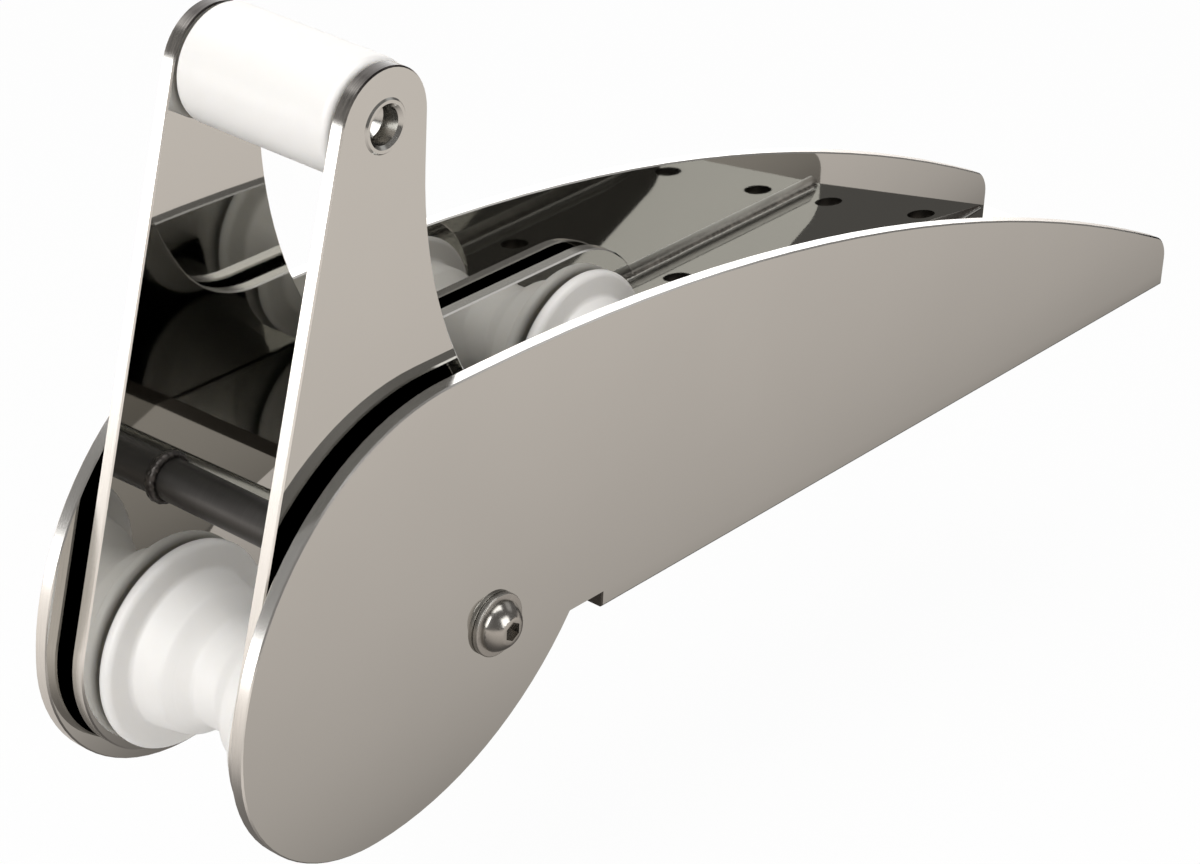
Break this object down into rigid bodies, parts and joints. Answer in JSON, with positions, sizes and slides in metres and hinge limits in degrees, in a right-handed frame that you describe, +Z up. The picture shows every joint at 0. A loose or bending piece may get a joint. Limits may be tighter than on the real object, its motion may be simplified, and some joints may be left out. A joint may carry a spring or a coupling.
{
  "type": "tilting bow roller",
  "caption": "Stainless bow roller: two bowed cheeks on a deck plate hold a tilting cradle with flanged rollers for anchor chain and rope.",
  "frame": {"origin": "middle of the four deck bolts on the underside of the deck plate", "axes": "+X forward to the bow, +Y to port, +Z up from the deck"},
  "size_m": [0.5105, 0.1095, 0.2603],
  "materials": {
    "polished_steel": "mirror polished",
    "weld_steel": "polished weld bead",
    "fastener_steel": "bright",
    "white_nylon": "satin"
  },
  "bodies": {
    "frame": {"port_cheek": "polished_steel", "starboard_cheek": "polished_steel", "deck_plate": "polished_steel", "port_deck_weld": "weld_steel", "starboard_deck_weld": "weld_steel", "pivot_bolt": "fastener_steel", "pivot_nut": "fastener_steel", "port_washer": "fastener_steel", "starboard_washer": "fastener_steel", "pivot_sleeve": "polished_steel", "port_spacer": "white_nylon", "starboard_spacer": "white_nylon"},
    "cradle": {"cradle_port_plate": "polished_steel", "cradle_starboard_plate": "polished_steel", "keeper_bar": "polished_steel", "port_bar_weld": "weld_steel", "starboard_bar_weld": "weld_steel", "front_axle": "polished_steel", "rear_axle": "polished_steel", "top_axle": "polished_steel"},
    "front_roller": {"front_roller": "white_nylon"},
    "rear_roller": {"rear_roller": "white_nylon"},
    "top_roller": {"top_roller": "white_nylon"}
  },
  "joints": [
    {"name": "cradle_tilt", "type": "hinge", "parent": "frame", "child": "cradle", "pos_m": [0.328, 0, 0.0175], "axis": [0, 1, 0], "range_deg": [0, 114]},
    {"name": "front_roller_spin", "type": "hinge", "parent": "cradle", "child": "front_roller", "pos_m": [0.394, 0, 0.0078], "axis": [0, 1, 0], "continuous": true},
    {"name": "rear_roller_spin", "type": "hinge", "parent": "cradle", "child": "rear_roller", "pos_m": [0.202, 0, 0.04], "axis": [0, 1, 0], "continuous": true},
    {"name": "top_roller_spin", "type": "hinge", "parent": "cradle", "child": "top_roller", "pos_m": [0.3749, 0, 0.2008], "axis": [0, 1, 0], "continuous": true}
  ]
}
